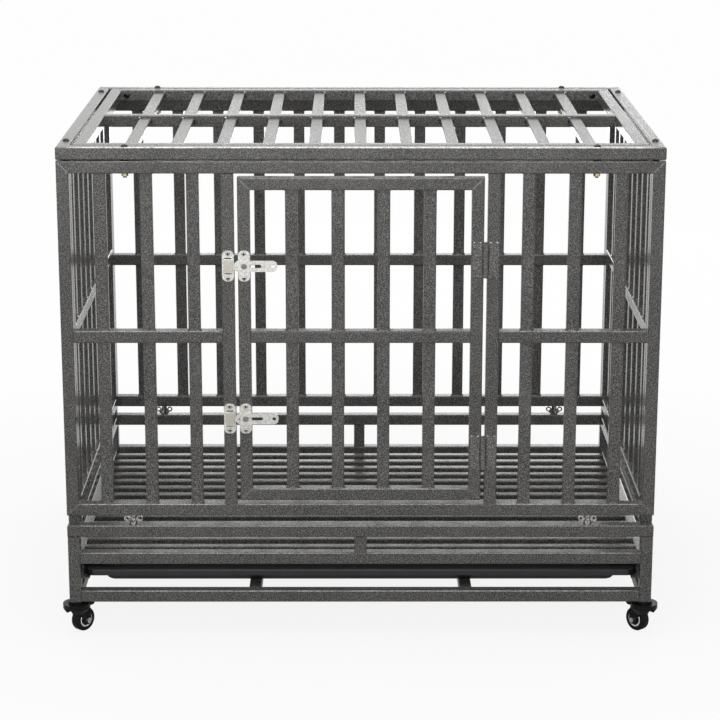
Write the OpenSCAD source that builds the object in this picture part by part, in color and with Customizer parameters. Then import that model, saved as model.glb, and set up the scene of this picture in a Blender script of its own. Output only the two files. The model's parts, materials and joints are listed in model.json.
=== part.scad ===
// Heavy duty dog crate: welded square-tube walls, roof and wheeled base,
// with a front door, two slide latches, a slide-out tray and four casters.
// X runs along the width, Y from front to back, Z up. The floor is Z = 0.

/* [Cage] */
// Width of the cage and of the base
crate_w = 960; // [900:10:1200]
// Depth of the cage and of the base
crate_d = 670; // [600:10:900]
// Height of the four walls
wall_h = 586; // [540:2:760]
// Clear gap between the front or back wall and the base
wall_gap = 17; // [15:1:24]
// Height of the base frame without its casters
base_h = 133; // [130:1:180]

/* [Tube] */
// Outer size of the square frame tube
tube = 20; // [18:0.5:22]
// Wall thickness of every tube
tube_wall = 0.9; // [0.7:0.1:1.6]
// Outer corner radius of every tube
tube_r = 2.2; // [1:0.1:3]
// Depth of the bars across their wall or the roof
bar_depth = 12; // [10:0.5:16]

/* [Bars] */
// Centre distance of the bars in the front wall and the door
front_pitch = 73.3; // [68:0.1:76]
// Centre of the innermost fixed front bar from the middle
front_bar_x = 266; // [262:1:270]
// Number of bars in the door
door_bar_count = 4; // [3:1:4]
// Centre distance of the bars in the back wall
back_pitch = 74.5; // [70:0.1:77]
// Number of bars in each side wall
side_bar_count = 8; // [5:1:9]
// Centre distance of the bars in the roof panel
roof_pitch = 73.2; // [68:0.1:76]
// Centre height of the front mid rail above the foot of the wall
mid_rail_h = 301; // [280:1:320]

/* [Door] */
// Width of the door
door_w = 391; // [385:1:393]
// Height of the clear gap above and below the door
door_gap_z = 6.5; // [4:0.5:10]
// Gap between the door and each jamb
door_gap_x = 5.5; // [4.5:0.1:7]

/* [Hinges] */
// Height of a hinge
hinge_h = 55; // [40:1:70]
// Width of one hinge leaf
hinge_leaf_w = 16.5; // [12:0.5:18]
// Thickness of a hinge leaf
hinge_leaf_t = 2; // [1.5:0.1:3]
// Outer diameter of the hinge knuckles
knuckle_d = 8; // [7:0.2:9]
// Diameter of the hinge pin
hinge_pin_d = 4; // [3:0.1:5]
// Centre height of the upper hinge above the foot of the wall
hinge_upper_h = 428; // [360:1:460]
// Centre height of the lower hinge above the foot of the wall
hinge_lower_h = 108; // [80:1:140]

/* [Latches] */
// Centre height of the upper latch above the foot of the wall
latch_upper_h = 418; // [380:1:450]
// Centre height of the lower latch above the foot of the wall
latch_lower_h = 166; // [120:1:200]
// Height of the latch plates
latch_plate_h = 50; // [44:1:60]
// Width of the keeper and of the door plate
latch_plate_w = 19; // [17:0.5:20]
// Thickness of the latch plates
latch_plate_t = 2; // [1.5:0.1:3]
// Length of the sliding strip
slide_l = 69; // [66:1:76]
// Height of the sliding strip
slide_h = 18; // [14:0.5:20]
// Thickness of the sliding strip
slide_t = 2.5; // [2:0.1:3]
// Travel of the sliding strip
slide_travel = 25; // [24:0.5:26]
// Diameter of the padlock hole in the sliding strip
padlock_d = 6; // [4:0.5:8]

/* [Roof] */
// Height of the washers between the walls and the roof rim
roof_lift = 2; // [1:0.5:4]
// Gap between the roof rim and the roof panel
roof_gap = 4.5; // [3:0.5:8]
// Distance of the wall bolts in the roof from each side
bolt_inset = 108; // [104:1:112]

/* [Base] */
// Top of the front mid rail above the leg foot
front_mid_h = 86; // [80:1:92]
// Top of the rear mid rail above the leg foot
rear_mid_h = 70; // [66:1:76]
// Top of the side mid rails above the leg foot
side_mid_h = 50; // [46:1:54]
// Distance of the bottom cross tubes from the middle
cross_x = 174; // [120:1:300]

/* [Floor] */
// Size of the floor grid tube
grid_tube = 16; // [12:0.5:18]
// Centre distance of the floor grid bars
grid_pitch = 40; // [32:0.5:50]
// Depth of the tray below its flange
tray_depth = 17; // [12:1:22]
// Wall thickness of the tray
tray_wall = 2.2; // [1.5:0.1:3]
// Width of the tray flange
tray_flange = 28; // [22:1:30]

/* [Casters] */
// Height of a caster from the floor to the leg foot
caster_h = 56; // [54:0.5:60]
// Diameter of the wheels
wheel_d = 40; // [36:0.5:42]
// Width of the wheels
wheel_w = 17; // [14:0.5:20]
// Offset of the axle from the swivel
wheel_trail = 14; // [10:0.5:18]
// Swivel of the wheels at rest, turned in from straight ahead
caster_turn = 40; // [0:1:60]

/* [Hidden] */

$fn = 48;
corner_steps = 16;
paint = "#4b4b49";
zinc = "#cfcfca";
brass = "#b89b52";
black = "#17171a";

// Overrun of every cut, and running clearances
over = 1;
slide_clear = 0.25;
pin_clear = 0.05;
hole_clear = 0.3;

// Fasteners
bolt_d = 6;
bolt_head_d = 11;
bolt_head_top_d = 7;
bolt_head_h = 3.3;
nut_d = 11;
nut_h = 5;
bolt_tail = 2.5;
hex_sides = 6;

// Levels above the floor
leg_z = caster_h;
base_z = leg_z + base_h;
wall_z = base_z + wall_gap;
wall_top = wall_z + wall_h;
roof_z = wall_top + roof_lift;

// Outline of the frame
half_w = crate_w / 2;
front_y = -crate_d / 2;
rear_y = crate_d / 2;
inner_x = half_w - tube;
inner_y = rear_y - tube;
side_d = crate_d - 2 * tube;

// Front wall: the door sits in the middle between two jambs.
stile_x = (door_w - tube) / 2;
jamb_x = (door_w + tube) / 2 + door_gap_x;
mid_z = wall_z + mid_rail_h - tube / 2;
back_mid_z = wall_top - mid_rail_h - tube / 2;
opening_z = wall_z + tube;
opening_top = wall_top - tube;
door_z = opening_z + door_gap_z;
door_h = opening_top - opening_z - 2 * door_gap_z;

// Hinge axis in front of the gap at the right of the door
knuckle_clear = 0.3;
pin_x = (door_w + door_gap_x) / 2;
pin_y = front_y - (knuckle_d + knuckle_clear) / 2;
leaf_edge = knuckle_d / 2 + knuckle_clear;
hinge_zs = [wall_z + hinge_upper_h, wall_z + hinge_lower_h];
knuckle_count = 5;
knuckle_h = hinge_h / knuckle_count;
pin_cap_d = 6;
pin_cap_h = 1.5;

// Latches: a keeper on the left jamb, a plate and a slotted strip on the door
latch_zs = [wall_z + latch_upper_h, wall_z + latch_lower_h];
plate_r = 8;
strap_w = 13;
strap_t = 1.5;
screw_d = 4;
screw_head_d = 7.5;
screw_head_top_d = 5;
screw_head_h = 1.8;
screw_l = 6;
screw_edge = 5;
stud_d = 5;
stud_head_d = 9;
stud_head_h = 2.4;
slide_r = 8;
slide_over = 6;
tip_hole_d = 4;
hole_edge = 7;
slide_tip = slide_travel - jamb_x - latch_plate_w / 2 - slide_over;
slot_h = stud_d + 2 * hole_clear;
strap_in = slide_h / 2 + slide_clear;
strap_reach = slide_t + 2 * slide_clear;
screw_at = latch_plate_h / 2 - screw_edge;

// Roof panel inside the rim
panel_w = crate_w - 2 * (tube + roof_gap);
panel_d = crate_d - 2 * (tube + roof_gap);
panel_bay = (panel_d - 3 * tube) / 2;
panel_bolt_inset = 30;
panel_bolt_x = panel_w / 2 - panel_bolt_inset;
panel_bolt_l = tube + roof_gap + tube / 2;
spacer_d = 14;
bolt_x = half_w - bolt_inset;
side_gap = (side_d - (side_bar_count + 2) * tube) / (side_bar_count + 1);
side_bolt_y = inner_y - tube - side_gap / 2;
bolt_l = 2 * tube + roof_lift + nut_h + bolt_tail;
long_bolts = [for (x = [-bolt_x, bolt_x], y = [front_y + tube / 2, rear_y - tube / 2]) [x, y]];
side_bolts = [for (x = [-1, 1] * (half_w - tube / 2), y = [-side_bolt_y, side_bolt_y]) [x, y]];

// As many bars as the width takes, the last one no nearer to a post than this
bar_end_gap = 8;
bar_end = tube / 2 + bar_end_gap;
front_bar_count = floor((inner_x - bar_end - front_bar_x) / front_pitch) + 1;
back_bar_count = 2 * floor((inner_x - bar_end + back_pitch / 2) / back_pitch);
roof_bar_count = 2 * floor((panel_w / 2 - tube - bar_end) / roof_pitch) + 1;

// Base
front_mid_z = leg_z + front_mid_h - tube;
rear_mid_z = leg_z + rear_mid_h - tube;
side_mid_z = leg_z + side_mid_h - tube;
ring_z = base_z - tube;

// Wing nuts between the base and the walls, their studs in the base rail
stud_z = ring_z + tube_wall;
stud_l = base_z + wall_gap + tube / 2 - stud_z;
wing_hub_d = 13;
wing_hub_h = 7;
wing_neck_d = 9.5;
wing_span = 31;
wing_tip_d = 10;
wing_t = 3;
wing_eye_d = 5;
wing_top_gap = 2.5;

// Floor grid, tray and the runners that carry the tray
grid_z = leg_z + side_mid_h;
grid_end = 2;
grid_d = side_d - 2 * grid_end;
grid_edge = 12;
grid_count = floor((grid_d - grid_tube - 2 * grid_edge) / grid_pitch) + 1;
grid_side_x = half_w - tube / 2;
grid_bar_l = 2 * grid_side_x - grid_tube;
tray_top_gap = 2;
flange_t = 2;
flange_z = grid_z - tray_top_gap - flange_t;
lip_h = 9.5;
runner_t = 2;
runner_h = 12;
runner_w = 12;
runner_z = flange_z - lip_h - slide_clear - runner_t;
tray_side_clear = 4;
tray_end_clear = 5;
tray_w = 2 * (inner_x - tray_side_clear);
tray_d = 2 * (inner_y - tray_end_clear);
tray_taper = 6;
tray_fillet = 9;
tray_corner = 16;
arc_steps = 6;

// Casters: the swivel stands under the middle of each leg.
stem_d = 8;
plug_l = 25;
plug_clear = 0.15;
head_d = 26;
head_t = 4;
crown_d = 44;
crown_t = 8;
swivel_gap = 0.3;
crown_z = leg_z - head_t - swivel_gap - crown_t;
skirt_h = 9;
skirt_d = 32;
axle_d = 5;
axle_z = wheel_d / 2;
cheek_t = 3;
cheek_clear = 1;
cheek_in = wheel_w / 2 + cheek_clear;
cheek_nose = 10;
cheek_tail = 19;
boss_d = 15;
axle_head_d = 9;
axle_head_h = 3;
tread_r = 4;
hub_dish = 2;
hub_dish_d = 27;
hub_boss_d = 12;
pedal_pin_d = 3;
pedal_barrel_d = 6;
pedal_gap = 1;
pedal_x = (crown_d + pedal_barrel_d) / 2 + pedal_gap;
pedal_z = crown_z + crown_t / 2;
pedal_l = 28;
pedal_t = 3.5;
pedal_ear_d = 7;
pedal_side = 0.4;
pedal_rib_d = 2;
pedal_rib_count = 3;
caster_x = half_w - tube / 2;
caster_y = rear_y - tube / 2;

// Outline of a tube with rounded corners
module round_rect(w, d, r) {
    square([w, d - 2 * r], center = true);
    square([w - 2 * r, d], center = true);
    for (sx = [-1, 1], sy = [-1, 1])
        translate([sx * (w / 2 - r), sy * (d / 2 - r)])
            circle(r, $fn = corner_steps);
}

module tube_section(w, d) {
    difference() {
        round_rect(w, d, tube_r);
        square([w - 2 * tube_wall, d - 2 * tube_wall], center = true);
    }
}

// Tube standing along Z, lying along X or lying along Y, centred on its axis
module bar_z(len, w, d) {
    linear_extrude(len)
        tube_section(w, d);
}

module bar_x(len, w, d) {
    rotate([90, 0, 90])
        linear_extrude(len)
            tube_section(w, d);
}

module bar_y(len, w, d) {
    rotate([-90, 0, 0])
        linear_extrude(len)
            tube_section(w, d);
}

// Frame tube along X with the outer side of its frame at Y = 0;
// m0 and m1 are 1 where the start and the end are mitred.
module rail(len, m0 = 0, m1 = 0) {
    intersection() {
        translate([0, tube / 2, tube / 2])
            bar_x(len, tube, tube);
        linear_extrude(tube)
            polygon([[0, 0], [len, 0], [len - m1 * tube, tube], [m0 * tube, tube]]);
    }
}

// Members of a frame that lies in the XY plane from 0 to w and 0 to h
module ring_bottom(w) {
    rail(w, 1, 1);
}

module ring_top(w, h) {
    translate([0, h, 0])
        mirror([0, 1, 0])
            rail(w, 1, 1);
}

module ring_left(h, m0 = 1, m1 = 1) {
    mirror([1, -1, 0])
        rail(h, m0, m1);
}

module ring_right(w, h, m0 = 1, m1 = 1) {
    translate([w, 0, 0])
        mirror([1, 0, 0])
            ring_left(h, m0, m1);
}

// Stands a flat frame up along X, or along Y, with its thickness behind it
module stand_x(x, y, z) {
    translate([x, y + tube, z])
        rotate([90, 0, 0])
            children();
}

module stand_y(x, y, z) {
    translate([x, y, z])
        rotate([90, 0, 90])
            children();
}

// Short tube between two others, its lower front left corner at the given place
module plain_rail_x(x0, x1, y, z) {
    translate([x0, y + tube / 2, z + tube / 2])
        bar_x(x1 - x0, tube, tube);
}

module plain_rail_y(x, y0, y1, z) {
    translate([x + tube / 2, y0, z + tube / 2])
        bar_y(y1 - y0, tube, tube);
}

// Upright bar in two lengths, above and below a mid rail
module split_bar(z0, rail_z, z1, w, d) {
    translate([0, 0, z0])
        bar_z(rail_z - z0, w, d);
    translate([0, 0, rail_z + tube])
        bar_z(z1 - rail_z - tube, w, d);
}

// Holes for the roof bolts, through the rim and the top rails of the walls
module bolt_holes(places) {
    for (p = places)
        translate([p[0], p[1], opening_top - over])
            cylinder(d = bolt_d + 2 * hole_clear, h = 2 * tube + roof_lift + 2 * over);
}

// Holes for the wing studs, out of the base rail and into the wall rail
module stud_holes() {
    for (p = long_bolts)
        translate([p[0], p[1], ring_z + tube / 2])
            cylinder(d = bolt_d + 2 * hole_clear, h = tube + wall_gap);
}

// Holes for the roof panel bolts, from the panel into the inner rim wall
module panel_bolt_holes() {
    for (x = [-panel_bolt_x, panel_bolt_x], s = [-1, 1])
        translate([x, s * (inner_y - roof_gap - tube - over), roof_z + tube / 2])
            rotate([-s * 90, 0, 0])
                cylinder(d = bolt_d + 2 * hole_clear, h = over + panel_bolt_l);
}

// Roof

module roof_rim_long_rails() {
    color(paint)
        difference() {
            translate([-half_w, front_y, roof_z]) {
                ring_bottom(crate_w);
                ring_top(crate_w, crate_d);
            }
            bolt_holes(long_bolts);
            panel_bolt_holes();
        }
}

module roof_rim_side_rails() {
    color(paint)
        difference() {
            translate([-half_w, front_y, roof_z]) {
                ring_left(crate_d);
                ring_right(crate_w, crate_d);
            }
            bolt_holes(side_bolts);
        }
}

module roof_panel_rails() {
    color(paint)
        difference() {
            translate([-panel_w / 2, -panel_d / 2, roof_z]) {
                ring_bottom(panel_w);
                ring_top(panel_w, panel_d);
                plain_rail_x(tube, panel_w - tube, (panel_d - tube) / 2, 0);
            }
            panel_bolt_holes();
        }
}

module roof_panel_sides() {
    color(paint)
        translate([-panel_w / 2, -panel_d / 2, roof_z]) {
            ring_left(panel_d);
            ring_right(panel_w, panel_d);
        }
}

module roof_bars() {
    color(paint)
        for (i = [0 : roof_bar_count - 1], y = [tube - panel_d / 2, tube / 2])
            translate([(i - (roof_bar_count - 1) / 2) * roof_pitch, y, roof_z + tube / 2])
                bar_y(panel_bay, tube, bar_depth);
}

module roof_panel_bolts() {
    color(zinc)
        for (x = [-panel_bolt_x, panel_bolt_x], s = [-1, 1])
            translate([x, s * (inner_y - roof_gap - tube), roof_z + tube / 2])
                rotate([-s * 90, 0, 0]) {
                    cylinder(d = bolt_d, h = panel_bolt_l);
                    mirror([0, 0, 1])
                        cylinder(d1 = bolt_head_d, d2 = bolt_head_top_d, h = bolt_head_h);
                }
}

// Spacer or washer on a bolt
module ring_washer(h) {
    difference() {
        cylinder(d = spacer_d, h = h);
        translate([0, 0, -over])
            cylinder(d = bolt_d + 2 * pin_clear, h = h + 2 * over);
    }
}

module roof_spacers() {
    color(black) {
        for (x = [-panel_bolt_x, panel_bolt_x], s = [-1, 1])
            translate([x, s * (inner_y - roof_gap), roof_z + tube / 2])
                rotate([-s * 90, 0, 0])
                    ring_washer(roof_gap);
        for (p = concat(long_bolts, side_bolts))
            translate([p[0], p[1], wall_top])
                ring_washer(roof_lift);
    }
}

module roof_bolts() {
    color(zinc)
        for (p = concat(long_bolts, side_bolts))
            translate([p[0], p[1], roof_z + tube]) {
                cylinder(d1 = bolt_head_d, d2 = bolt_head_top_d, h = bolt_head_h);
                mirror([0, 0, 1])
                    cylinder(d = bolt_d, h = bolt_l);
            }
}

module roof_nuts() {
    color(brass)
        for (p = concat(long_bolts, side_bolts))
            translate([p[0], p[1], opening_top - nut_h])
                difference() {
                    cylinder(d = nut_d, h = nut_h, $fn = hex_sides);
                    translate([0, 0, -over])
                        cylinder(d = bolt_d + 2 * pin_clear, h = nut_h + 2 * over);
                }
}

// Walls

module latch_holes(x) {
    for (z = latch_zs, s = [-1, 1])
        translate([x, front_y - over, z + s * screw_at])
            rotate([-90, 0, 0])
                cylinder(d = screw_d + 2 * hole_clear, h = over + tube / 2);
}

module front_posts() {
    color(paint)
        difference() {
            union() {
                stand_x(-half_w, front_y, wall_z) {
                    ring_left(wall_h);
                    ring_right(crate_w, wall_h);
                }
                for (x = [-jamb_x, jamb_x])
                    translate([x, front_y + tube / 2, opening_z])
                        bar_z(opening_top - opening_z, tube, tube);
            }
            latch_holes(-jamb_x);
        }
}

module front_rails() {
    color(paint)
        difference() {
            union() {
                stand_x(-half_w, front_y, wall_z) {
                    ring_bottom(crate_w);
                    ring_top(crate_w, wall_h);
                }
                plain_rail_x(-inner_x, -jamb_x - tube / 2, front_y, mid_z);
                plain_rail_x(jamb_x + tube / 2, inner_x, front_y, mid_z);
            }
            bolt_holes(long_bolts);
            stud_holes();
        }
}

module front_bars() {
    color(paint)
        for (s = [-1, 1], i = [0 : front_bar_count - 1])
            translate([s * (front_bar_x + i * front_pitch), front_y + tube / 2, 0])
                split_bar(opening_z, mid_z, opening_top, tube, bar_depth);
}

module back_posts() {
    color(paint)
        stand_x(-half_w, rear_y - tube, wall_z) {
            ring_left(wall_h);
            ring_right(crate_w, wall_h);
        }
}

module back_rails() {
    color(paint)
        difference() {
            union() {
                stand_x(-half_w, rear_y - tube, wall_z) {
                    ring_bottom(crate_w);
                    ring_top(crate_w, wall_h);
                }
                plain_rail_x(-inner_x, inner_x, rear_y - tube, back_mid_z);
            }
            bolt_holes(long_bolts);
            stud_holes();
        }
}

module back_bars() {
    color(paint)
        for (i = [0 : back_bar_count - 1])
            translate([(i - (back_bar_count - 1) / 2) * back_pitch, rear_y - tube / 2, 0])
                split_bar(opening_z, back_mid_z, opening_top, tube, bar_depth);
}

// The side walls stand on the base, so their posts are longer by the wall gap.
module side_posts() {
    color(paint)
        for (x = [-half_w, inner_x])
            stand_y(x, -inner_y, base_z) {
                ring_left(wall_h + wall_gap, 0, 1);
                ring_right(side_d, wall_h + wall_gap, 0, 1);
            }
}

module side_rails() {
    color(paint)
        difference() {
            for (x = [-half_w, inner_x]) {
                stand_y(x, -inner_y, wall_z)
                    ring_top(side_d, wall_h);
                for (z = [wall_z, mid_z])
                    plain_rail_y(x, tube - inner_y, inner_y - tube, z);
            }
            bolt_holes(side_bolts);
        }
}

module side_bars() {
    color(paint)
        for (s = [-1, 1], i = [0 : side_bar_count - 1])
            translate([s * (half_w - tube / 2), (i - (side_bar_count - 1) / 2) * (tube + side_gap), 0])
                split_bar(opening_z, mid_z, opening_top, bar_depth, tube);
}

// Door

module door_stiles() {
    color(paint)
        difference() {
            stand_x(-door_w / 2, front_y, door_z) {
                ring_left(door_h);
                ring_right(door_w, door_h);
            }
            latch_holes(-stile_x);
        }
}

module door_rails() {
    color(paint) {
        stand_x(-door_w / 2, front_y, door_z) {
            ring_bottom(door_w);
            ring_top(door_w, door_h);
        }
        plain_rail_x(tube - door_w / 2, door_w / 2 - tube, front_y, mid_z);
    }
}

module door_bars() {
    color(paint)
        for (i = [0 : door_bar_count - 1])
            translate([(i - (door_bar_count - 1) / 2) * front_pitch, front_y + tube / 2, 0])
                split_bar(door_z + tube, mid_z, door_z + door_h - tube, tube, bar_depth);
}

// Hinge leaf on the side of the pin that side points to, with the knuckles
// first, first + 2 and so on up to the last one
module hinge_leaf(z, side, first) {
    translate([pin_x, front_y, z - hinge_h / 2])
        difference() {
            union() {
                translate([side > 0 ? leaf_edge : -leaf_edge - hinge_leaf_w, -hinge_leaf_t, 0])
                    cube([hinge_leaf_w, hinge_leaf_t, hinge_h]);
                for (i = [first : 2 : knuckle_count - 1])
                    translate([0, 0, i * knuckle_h + knuckle_clear / 2]) {
                        translate([0, pin_y - front_y, 0])
                            cylinder(d = knuckle_d, h = knuckle_h - knuckle_clear);
                        translate([side > 0 ? 0 : -leaf_edge, -hinge_leaf_t, 0])
                            cube([leaf_edge, hinge_leaf_t, knuckle_h - knuckle_clear]);
                    }
            }
            translate([0, pin_y - front_y, -over])
                cylinder(d = hinge_pin_d + 2 * pin_clear, h = hinge_h + 2 * over);
        }
}

module hinge_door_leaves() {
    color(paint)
        for (z = hinge_zs)
            hinge_leaf(z, -1, 1);
}

module hinge_jamb_leaves() {
    color(paint)
        for (z = hinge_zs)
            hinge_leaf(z, 1, 0);
}

module hinge_pins() {
    color(paint)
        for (z = hinge_zs)
            translate([pin_x, pin_y, z]) {
                cylinder(d = hinge_pin_d, h = hinge_h, center = true);
                for (s = [-1, 1])
                    translate([0, 0, s * (hinge_h + pin_cap_h) / 2])
                        cylinder(d = pin_cap_d, h = pin_cap_h, center = true);
            }
}

// Latches

// Plate in front of the wall's face, its middle at the given place
module face_plate(x, z, w, h, r, t) {
    translate([x, front_y, z])
        rotate([90, 0, 0])
            linear_extrude(t)
                round_rect(w, h, r);
}

module screw_clear(x, z) {
    for (s = [-1, 1])
        translate([x, front_y + over, z + s * screw_at])
            rotate([90, 0, 0])
                cylinder(d = screw_d + 2 * pin_clear, h = latch_plate_t + 2 * over);
}

module keeper(z) {
    color(zinc)
        difference() {
            union() {
                face_plate(-jamb_x, z, latch_plate_w, latch_plate_h, plate_r, latch_plate_t);
                translate([-jamb_x - strap_w / 2, front_y - latch_plate_t, z])
                    mirror([0, 1, 0])
                        difference() {
                            translate([0, 0, -strap_in - strap_t])
                                cube([strap_w, strap_reach + strap_t, 2 * (strap_in + strap_t)]);
                            translate([-over, -over, -strap_in])
                                cube([strap_w + 2 * over, strap_reach + over, 2 * strap_in]);
                        }
            }
            screw_clear(-jamb_x, z);
        }
}

module upper_keeper() {
    keeper(latch_zs[0]);
}

module lower_keeper() {
    keeper(latch_zs[1]);
}

module latch_plate(z) {
    color(zinc)
        difference() {
            face_plate(-stile_x, z, latch_plate_w, latch_plate_h, plate_r, latch_plate_t);
            screw_clear(-stile_x, z);
        }
}

module upper_latch_plate() {
    latch_plate(latch_zs[0]);
}

module lower_latch_plate() {
    latch_plate(latch_zs[1]);
}

module plate_screws(x) {
    color(zinc)
        for (z = latch_zs, s = [-1, 1])
            translate([x, front_y - latch_plate_t, z + s * screw_at])
                rotate([90, 0, 0]) {
                    cylinder(d1 = screw_head_d, d2 = screw_head_top_d, h = screw_head_h);
                    mirror([0, 0, 1])
                        cylinder(d = screw_d, h = screw_l);
                }
}

module keeper_screws() {
    plate_screws(-jamb_x);
}

module latch_screws() {
    plate_screws(-stile_x);
}

// Sliding strip, drawn back: its slot runs on the stud of the door plate.
module slide(z) {
    color(zinc)
        translate([0, front_y - latch_plate_t - slide_clear, z])
            rotate([90, 0, 0])
                difference() {
                    linear_extrude(slide_t)
                        translate([slide_tip + slide_l / 2, 0])
                            round_rect(slide_l, slide_h, slide_r);
                    for (x = [-stile_x, -stile_x + slide_travel])
                        translate([x, 0, -over])
                            cylinder(d = slot_h, h = slide_t + 2 * over);
                    translate([-stile_x, -slot_h / 2, -over])
                        cube([slide_travel, slot_h, slide_t + 2 * over]);
                    translate([slide_tip + hole_edge, 0, -over])
                        cylinder(d = tip_hole_d, h = slide_t + 2 * over);
                    translate([slide_tip + slide_l - hole_edge, 0, -over])
                        cylinder(d = padlock_d, h = slide_t + 2 * over);
                }
}

module upper_slide() {
    slide(latch_zs[0]);
}

module lower_slide() {
    slide(latch_zs[1]);
}

module stud(z) {
    color(zinc)
        translate([-stile_x, front_y - latch_plate_t, z])
            rotate([90, 0, 0]) {
                cylinder(d = stud_d, h = strap_reach);
                translate([0, 0, strap_reach])
                    cylinder(d = stud_head_d, h = stud_head_h);
            }
}

module upper_stud() {
    stud(latch_zs[0]);
}

module lower_stud() {
    stud(latch_zs[1]);
}

// Base

module base_legs() {
    color(paint)
        for (x = [-1, 1] * (half_w - tube / 2), y = [-1, 1] * (rear_y - tube / 2))
            translate([x, y, leg_z])
                bar_z(base_h - tube, tube, tube);
}

module base_long_rails() {
    color(paint)
        difference() {
            union() {
                translate([-half_w, front_y, ring_z]) {
                    ring_bottom(crate_w);
                    ring_top(crate_w, crate_d);
                }
                plain_rail_x(-inner_x, inner_x, front_y, front_mid_z);
                plain_rail_x(-inner_x, inner_x, inner_y, rear_mid_z);
                for (y = [front_y, inner_y])
                    plain_rail_x(-inner_x, inner_x, y, leg_z);
            }
            stud_holes();
        }
}

module base_side_rails() {
    color(paint) {
        translate([-half_w, front_y, ring_z]) {
            ring_left(crate_d);
            ring_right(crate_w, crate_d);
        }
        for (x = [-half_w, inner_x], z = [side_mid_z, leg_z])
            plain_rail_y(x, -inner_y, inner_y, z);
    }
}

module base_centre_posts() {
    color(paint) {
        translate([0, front_y + tube / 2, front_mid_z + tube])
            bar_z(ring_z - front_mid_z - tube, tube, tube);
        translate([0, rear_y - tube / 2, rear_mid_z + tube])
            bar_z(ring_z - rear_mid_z - tube, tube, tube);
    }
}

module base_cross_tubes() {
    color(paint)
        for (x = [-cross_x, cross_x])
            plain_rail_y(x - tube / 2, -inner_y, inner_y, leg_z);
}

// Angle strip on the inner side of each side mid rail, under the tray's lip
module tray_runners() {
    color(paint)
        for (s = [0, 1])
            mirror([s, 0, 0]) {
                translate([inner_x - runner_w, -inner_y, runner_z])
                    cube([runner_w, side_d, runner_t]);
                translate([inner_x - runner_t, -inner_y, runner_z])
                    cube([runner_t, side_d, runner_h]);
            }
}

module grid_sides() {
    color(paint)
        for (x = [-grid_side_x, grid_side_x])
            translate([x, -grid_d / 2, grid_z + grid_tube / 2])
                bar_y(grid_d, grid_tube, grid_tube);
}

module grid_bars() {
    color(paint)
        for (i = [0 : grid_count - 1])
            translate([-grid_bar_l / 2, (i - (grid_count - 1) / 2) * grid_pitch, grid_z + grid_tube / 2])
                bar_x(grid_bar_l, grid_tube, grid_tube);
}

// Half section of the pan across one direction: sloped sides and round feet
function pan_side(half, depth, r) = concat(
    [[half, over]],
    [for (i = [0 : arc_steps]) let (a = 90 * i / arc_steps)
        [half - tray_taper - r + r * cos(a), -depth + r - r * sin(a)]]);

function pan_outline(half, depth, r) = concat(
    pan_side(half, depth, r),
    [for (i = [arc_steps + 1 : -1 : 0]) let (p = pan_side(half, depth, r)[i]) [-p[0], p[1]]]);

module pan_solid(inset, depth) {
    half_x = tray_w / 2 - tray_flange - inset;
    half_y = tray_d / 2 - tray_flange - inset;
    intersection() {
        translate([0, tray_d / 2, 0])
            rotate([90, 0, 0])
                linear_extrude(tray_d)
                    polygon(pan_outline(half_x, depth, tray_fillet));
        translate([-tray_w / 2, 0, 0])
            rotate([90, 0, 90])
                linear_extrude(tray_w)
                    polygon(pan_outline(half_y, depth, tray_fillet));
        translate([0, 0, -tray_depth - over])
            linear_extrude(tray_depth + flange_t + over)
                round_rect(tray_w, tray_d, tray_corner);
    }
}

// Edge of the flange, turned down all round
module tray_lip() {
    difference() {
        round_rect(tray_w, tray_d, tray_corner);
        round_rect(tray_w - 2 * tray_wall, tray_d - 2 * tray_wall, tray_corner - tray_wall);
    }
}

module tray() {
    color(black)
        translate([0, 0, flange_z])
            difference() {
                union() {
                    pan_solid(0, tray_depth);
                    linear_extrude(flange_t)
                        round_rect(tray_w, tray_d, tray_corner);
                    translate([0, 0, -lip_h])
                        linear_extrude(lip_h)
                            tray_lip();
                }
                translate([0, 0, flange_t])
                    pan_solid(tray_wall, tray_depth + flange_t - tray_wall);
            }
}

// Wing studs stand in the base rail and reach into the wall rail above.
module wing_studs() {
    color(zinc)
        for (p = long_bolts)
            translate([p[0], p[1], stud_z])
                cylinder(d = bolt_d, h = stud_l);
}

module wing_nuts() {
    color(zinc)
        for (p = long_bolts)
            translate([p[0], p[1], base_z])
                difference() {
                    union() {
                        cylinder(d = wing_hub_d, h = wing_hub_h);
                        cylinder(d = wing_neck_d, h = wall_gap);
                        translate([0, wing_t / 2, 0])
                            rotate([90, 0, 0])
                                linear_extrude(wing_t)
                                    wing_outline();
                    }
                    translate([0, 0, -over])
                        cylinder(d = bolt_d + 2 * pin_clear, h = wall_gap + 2 * over);
                }
}

module wing_outline() {
    tip_x = (wing_span - wing_tip_d) / 2;
    tip_z = wall_gap - wing_top_gap - wing_tip_d / 2;
    for (s = [-1, 1])
        difference() {
            union() {
                translate([s * tip_x, tip_z])
                    circle(d = wing_tip_d);
                polygon([[0, 0], [s * wing_hub_d / 2, 0], [s * tip_x, tip_z - wing_tip_d / 2],
                    [s * tip_x, tip_z + wing_tip_d / 2], [0, wing_hub_h]]);
            }
            translate([s * tip_x, tip_z])
                circle(d = wing_eye_d);
        }
}

// Casters

module caster_stems() {
    plug = tube - 2 * (tube_wall + plug_clear);
    color(black)
        for (x = [-caster_x, caster_x], y = [-caster_y, caster_y])
            translate([x, y, leg_z]) {
                translate([-plug / 2, -plug / 2, 0])
                    cube([plug, plug, plug_l]);
                mirror([0, 0, 1]) {
                    cylinder(d = head_d, h = head_t);
                    cylinder(d = stem_d, h = leg_z - crown_z);
                }
            }
}

// Places a caster piece under a leg, its wheel trailing towards the middle
module at_leg(sx, sy) {
    translate([sx * caster_x, sy * caster_y, 0])
        rotate(sy < 0 ? 90 + sx * caster_turn : -90 - sx * caster_turn)
            children();
}

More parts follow.
